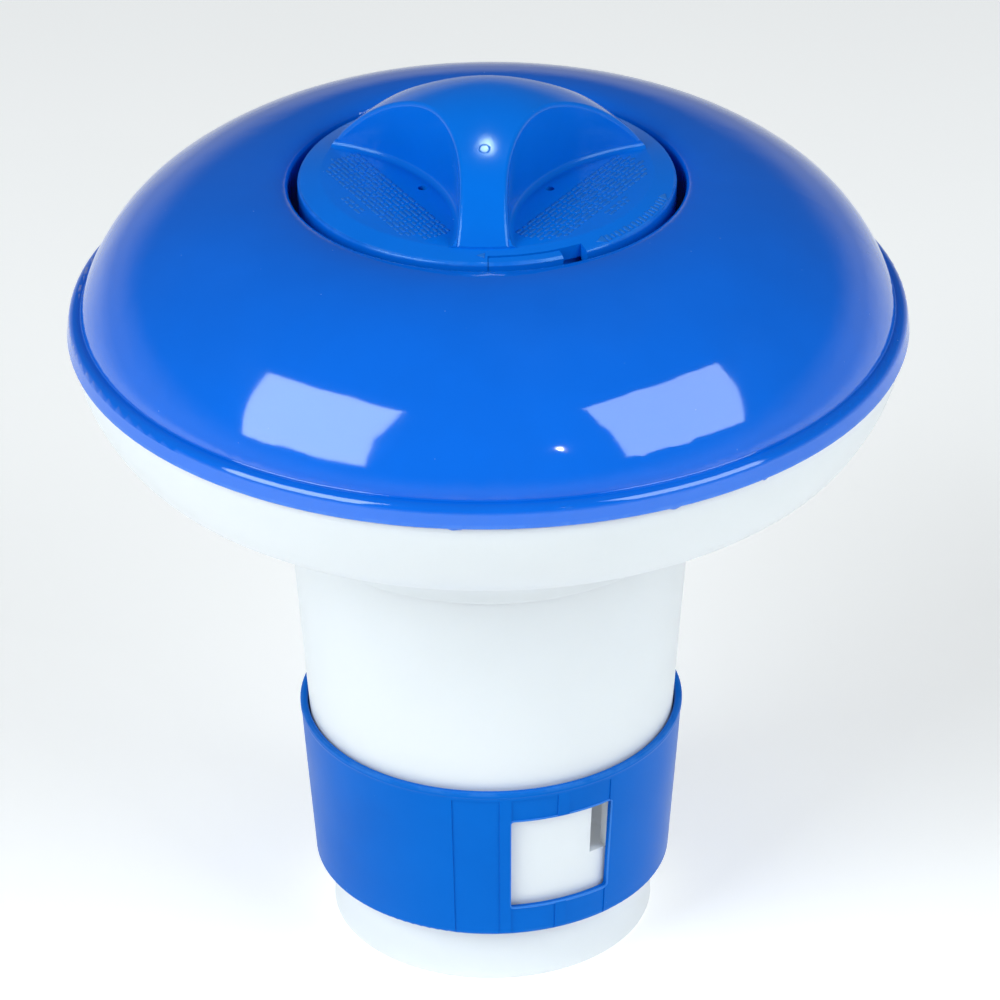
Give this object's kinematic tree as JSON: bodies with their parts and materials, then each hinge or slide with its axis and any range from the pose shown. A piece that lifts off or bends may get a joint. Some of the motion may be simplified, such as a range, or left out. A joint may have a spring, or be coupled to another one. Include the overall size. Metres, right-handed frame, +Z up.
{
  "type": "floating chlorine dispenser",
  "caption": "Mushroom-shaped pool float with a tapered tablet canister below, a turning windowed ring that sets the flow, and a three-arm grip cap with a lift tab.",
  "frame": {"origin": "centre of the canister's flat foot, on the surface it stands on", "axes": "+Z up along the axis of the float and canister; -Y is the front, where the cap's lock tab and the ring's window are; +X to the right"},
  "size_m": [0.203, 0.203, 0.2261],
  "materials": {
    "dome_blue": "glossy blue polyethylene, blow-smooth",
    "neck_blue": "satin blue polyethylene",
    "bowl_white": "satin white polyethylene",
    "canister_white": "satin white polyethylene",
    "ring_blue": "satin blue polypropylene",
    "cap_blue": "satin blue polypropylene",
    "tab_blue": "satin blue polypropylene"
  },
  "bodies": {
    "float": {"float_top_shell": "dome_blue", "filler_neck": "neck_blue", "float_lower_bowl": "bowl_white", "tablet_canister": "canister_white"},
    "cap": {"closure_cap": "cap_blue"},
    "lock_tab": {"cap_lock_tab": "tab_blue"},
    "ring": {"flow_ring": "ring_blue"}
  },
  "joints": [
    {"name": "cap_turn", "type": "hinge", "parent": "float", "child": "cap", "pos_m": [0, 0, 0.2], "axis": [0, 0, 1], "range_deg": [0, 60]},
    {"name": "lock_tab_lift", "type": "hinge", "parent": "cap", "child": "lock_tab", "pos_m": [0.00017, -0.044, 0.2036], "axis": [0.0038, -1, 0], "range_deg": [0, 10], "stiffness_Nm_per_rad": 0.05},
    {"name": "ring_turn", "type": "hinge", "parent": "float", "child": "ring", "pos_m": [0, 0, 0.038], "axis": [0, 0, 1], "continuous": true}
  ]
}
